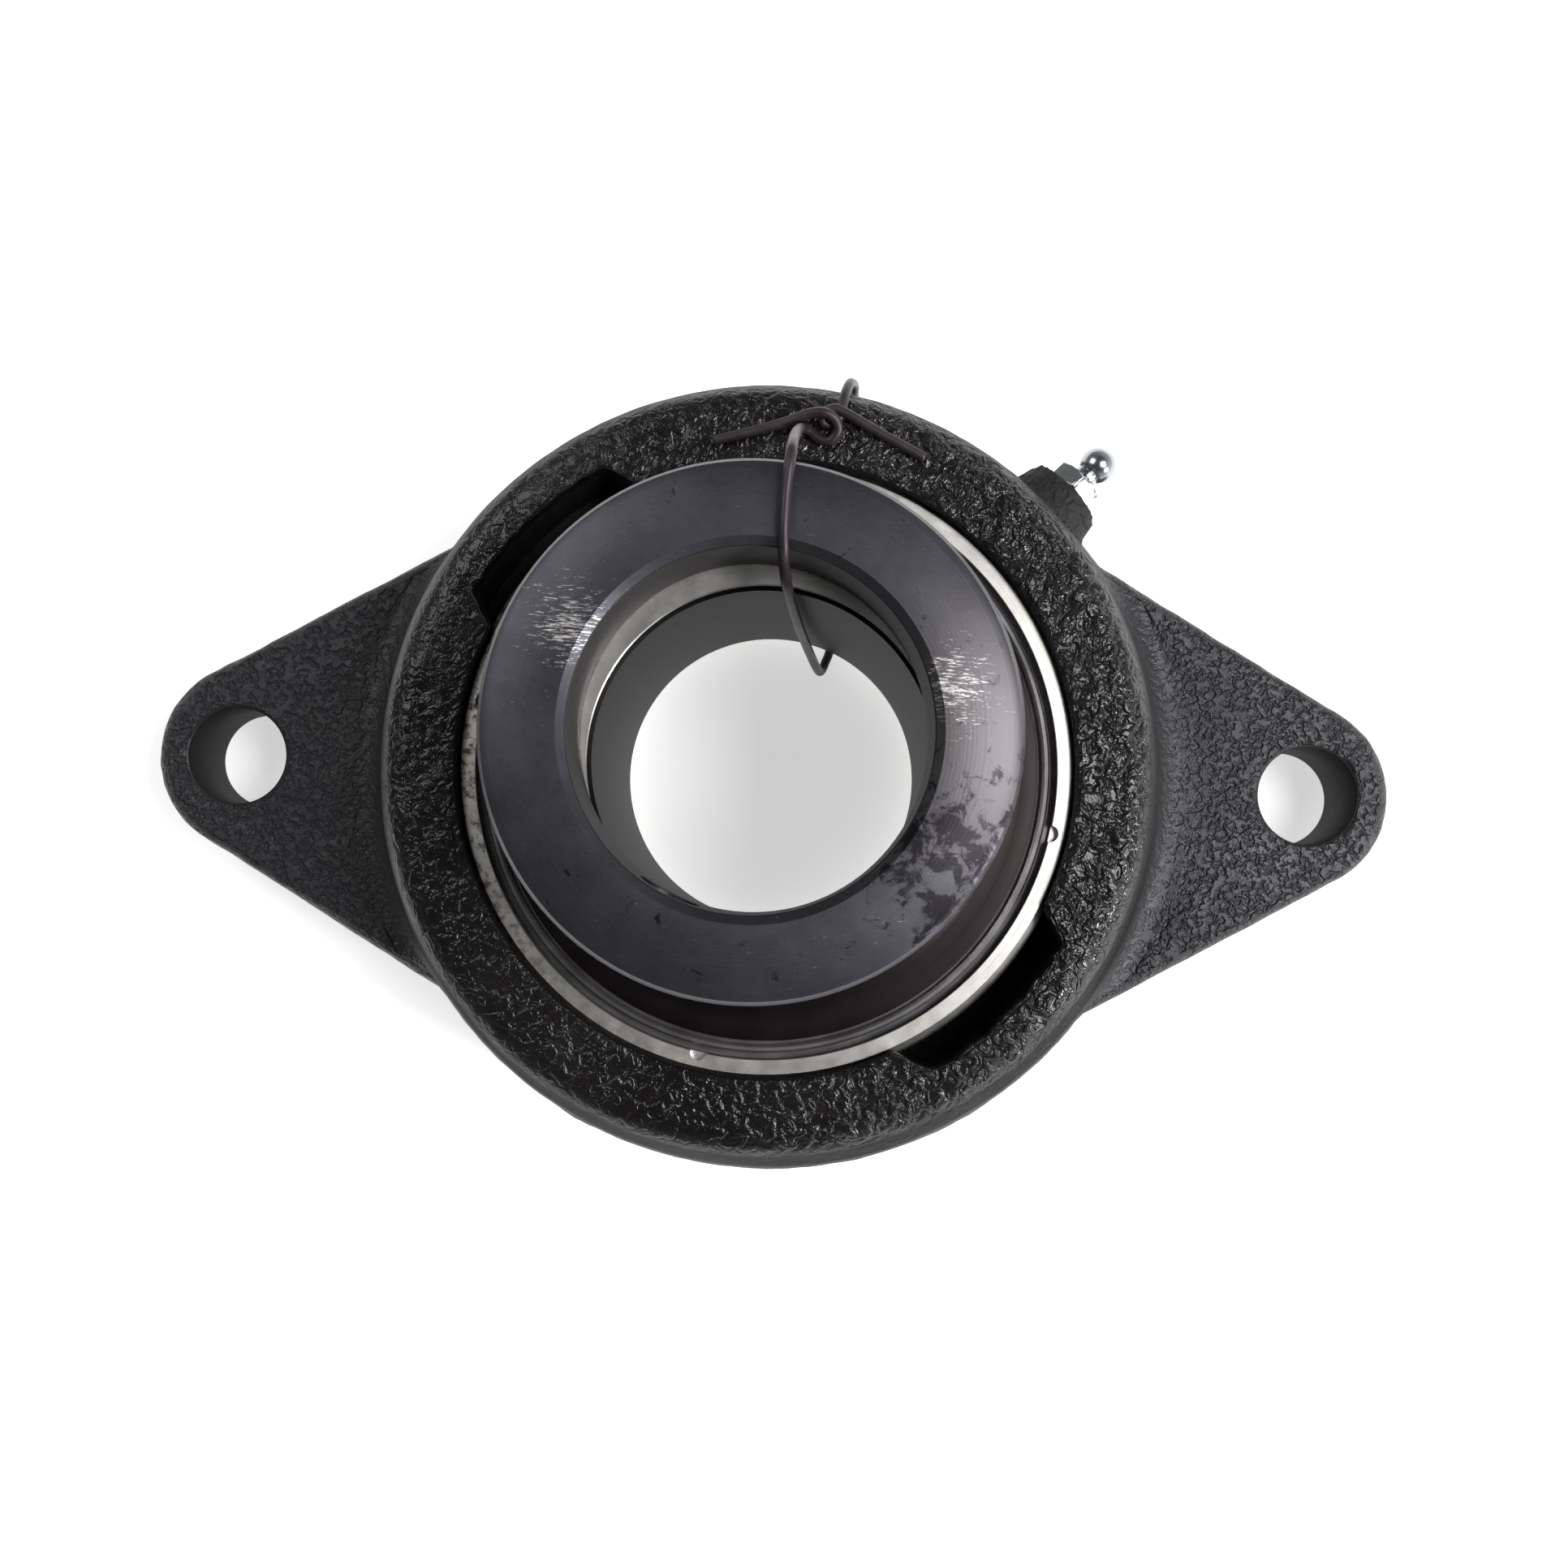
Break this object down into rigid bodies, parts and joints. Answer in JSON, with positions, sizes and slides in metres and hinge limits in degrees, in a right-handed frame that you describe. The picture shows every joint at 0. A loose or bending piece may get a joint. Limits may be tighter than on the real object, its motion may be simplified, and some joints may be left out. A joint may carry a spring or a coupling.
{
  "type": "flange mount bearing",
  "caption": "Two-bolt flange bearing: rhombic black cast housing, self-aligning ball insert with a wide inner ring, seals, eccentric locking collar and grease fitting.",
  "frame": {"origin": "where the shaft axis meets the flange's flat back, midway between the two bolt holes", "axes": "+Z along the shaft axis from the mounting face towards the locking collar, +X along the line of the two bolt holes"},
  "size_m": [0.2124, 0.1336, 0.0746],
  "materials": {
    "black_enamel_on_cast_iron": "semi-gloss black enamel on a coarse sand-cast skin",
    "ground_bearing_steel": "ground",
    "polished_bearing_steel": "polished",
    "black_oxide_steel": "turned, black oxide, oiled",
    "blackened_sheet_steel": "pressed and blackened",
    "pressed_cage_steel": "pressed",
    "nitrile_rubber": "moulded",
    "zinc_plated_steel": "bright zinc plate"
  },
  "bodies": {
    "housing": {"housing": "black_enamel_on_cast_iron", "grease_fitting_body": "zinc_plated_steel", "grease_fitting_spring": "zinc_plated_steel"},
    "bearing_outer": {"outer_ring": "ground_bearing_steel", "front_seal_shroud": "blackened_sheet_steel", "front_seal_washer": "nitrile_rubber", "rear_seal_shroud": "blackened_sheet_steel", "rear_seal_washer": "nitrile_rubber"},
    "bearing_inner": {"inner_ring": "ground_bearing_steel", "front_seal_slinger": "blackened_sheet_steel", "rear_seal_slinger": "blackened_sheet_steel"},
    "cage": {"cage_front_half": "pressed_cage_steel", "cage_rear_half": "pressed_cage_steel", "cage_rivets": "pressed_cage_steel"},
    "collar": {"locking_collar": "black_oxide_steel"},
    "set_screw": {"collar_set_screw": "black_oxide_steel"},
    "check_ball": {"grease_fitting_check_ball": "polished_bearing_steel"},
    "ball_01_body": {"ball_01": "polished_bearing_steel"},
    "ball_02_body": {"ball_02": "polished_bearing_steel"},
    "ball_03_body": {"ball_03": "polished_bearing_steel"},
    "ball_04_body": {"ball_04": "polished_bearing_steel"},
    "ball_05_body": {"ball_05": "polished_bearing_steel"},
    "ball_06_body": {"ball_06": "polished_bearing_steel"},
    "ball_07_body": {"ball_07": "polished_bearing_steel"},
    "ball_08_body": {"ball_08": "polished_bearing_steel"},
    "ball_09_body": {"ball_09": "polished_bearing_steel"},
    "ball_10_body": {"ball_10": "polished_bearing_steel"}
  },
  "joints": [
    {"name": "insert_tilt", "type": "hinge", "parent": "housing", "child": "bearing_outer", "pos_m": [0, 0, 0.031], "axis": [0, 1, 0], "range_deg": [-3, 3]},
    {"name": "shaft_spin", "type": "hinge", "parent": "bearing_outer", "child": "bearing_inner", "pos_m": [0, 0, 0.031], "axis": [0, 0, 1], "continuous": true},
    {"name": "cage_spin", "type": "hinge", "parent": "bearing_outer", "child": "cage", "pos_m": [0, 0, 0.031], "axis": [0, 0, 1], "continuous": true},
    {"name": "collar_turn", "type": "hinge", "parent": "bearing_inner", "child": "collar", "pos_m": [-0.00077, 0.00174, 0.055], "axis": [0, 0, 1], "continuous": true},
    {"name": "set_screw_travel", "type": "slide", "parent": "collar", "child": "set_screw", "axis": [-0.4226, -0.9063, 0], "range_m": [-0.0006, 0.003]},
    {"name": "check_ball_travel", "type": "slide", "parent": "housing", "child": "check_ball", "axis": [-0.7071, -0.7071, 0], "range_m": [0, 0.0006], "stiffness_N_per_m": 300, "springref_m": -0.001, "deforming": ["grease_fitting_spring"]},
    {"name": "ball_01_spin", "type": "hinge", "parent": "cage", "child": "ball_01_body", "pos_m": [0.03875, 0, 0.031], "axis": [0, 0, 1], "continuous": true},
    {"name": "ball_02_spin", "type": "hinge", "parent": "cage", "child": "ball_02_body", "pos_m": [0.03135, 0.02278, 0.031], "axis": [0, 0, 1], "continuous": true},
    {"name": "ball_03_spin", "type": "hinge", "parent": "cage", "child": "ball_03_body", "pos_m": [0.01197, 0.03685, 0.031], "axis": [0, 0, 1], "continuous": true},
    {"name": "ball_04_spin", "type": "hinge", "parent": "cage", "child": "ball_04_body", "pos_m": [-0.01197, 0.03685, 0.031], "axis": [0, 0, 1], "continuous": true},
    {"name": "ball_05_spin", "type": "hinge", "parent": "cage", "child": "ball_05_body", "pos_m": [-0.03135, 0.02278, 0.031], "axis": [0, 0, 1], "continuous": true},
    {"name": "ball_06_spin", "type": "hinge", "parent": "cage", "child": "ball_06_body", "pos_m": [-0.03875, 0, 0.031], "axis": [0, 0, 1], "continuous": true},
    {"name": "ball_07_spin", "type": "hinge", "parent": "cage", "child": "ball_07_body", "pos_m": [-0.03135, -0.02278, 0.031], "axis": [0, 0, 1], "continuous": true},
    {"name": "ball_08_spin", "type": "hinge", "parent": "cage", "child": "ball_08_body", "pos_m": [-0.01197, -0.03685, 0.031], "axis": [0, 0, 1], "continuous": true},
    {"name": "ball_09_spin", "type": "hinge", "parent": "cage", "child": "ball_09_body", "pos_m": [0.01197, -0.03685, 0.031], "axis": [0, 0, 1], "continuous": true},
    {"name": "ball_10_spin", "type": "hinge", "parent": "cage", "child": "ball_10_body", "pos_m": [0.03135, -0.02278, 0.031], "axis": [0, 0, 1], "continuous": true}
  ],
  "couplings": [
    {"joint": "cage_spin", "follows": "shaft_spin", "ratio": 0.40782},
    {"joint": "ball_01_spin", "follows": "shaft_spin", "ratio": -2.6199},
    {"joint": "ball_02_spin", "follows": "shaft_spin", "ratio": -2.6199},
    {"joint": "ball_03_spin", "follows": "shaft_spin", "ratio": -2.6199},
    {"joint": "ball_04_spin", "follows": "shaft_spin", "ratio": -2.6199},
    {"joint": "ball_05_spin", "follows": "shaft_spin", "ratio": -2.6199},
    {"joint": "ball_06_spin", "follows": "shaft_spin", "ratio": -2.6199},
    {"joint": "ball_07_spin", "follows": "shaft_spin", "ratio": -2.6199},
    {"joint": "ball_08_spin", "follows": "shaft_spin", "ratio": -2.6199},
    {"joint": "ball_09_spin", "follows": "shaft_spin", "ratio": -2.6199},
    {"joint": "ball_10_spin", "follows": "shaft_spin", "ratio": -2.6199}
  ]
}
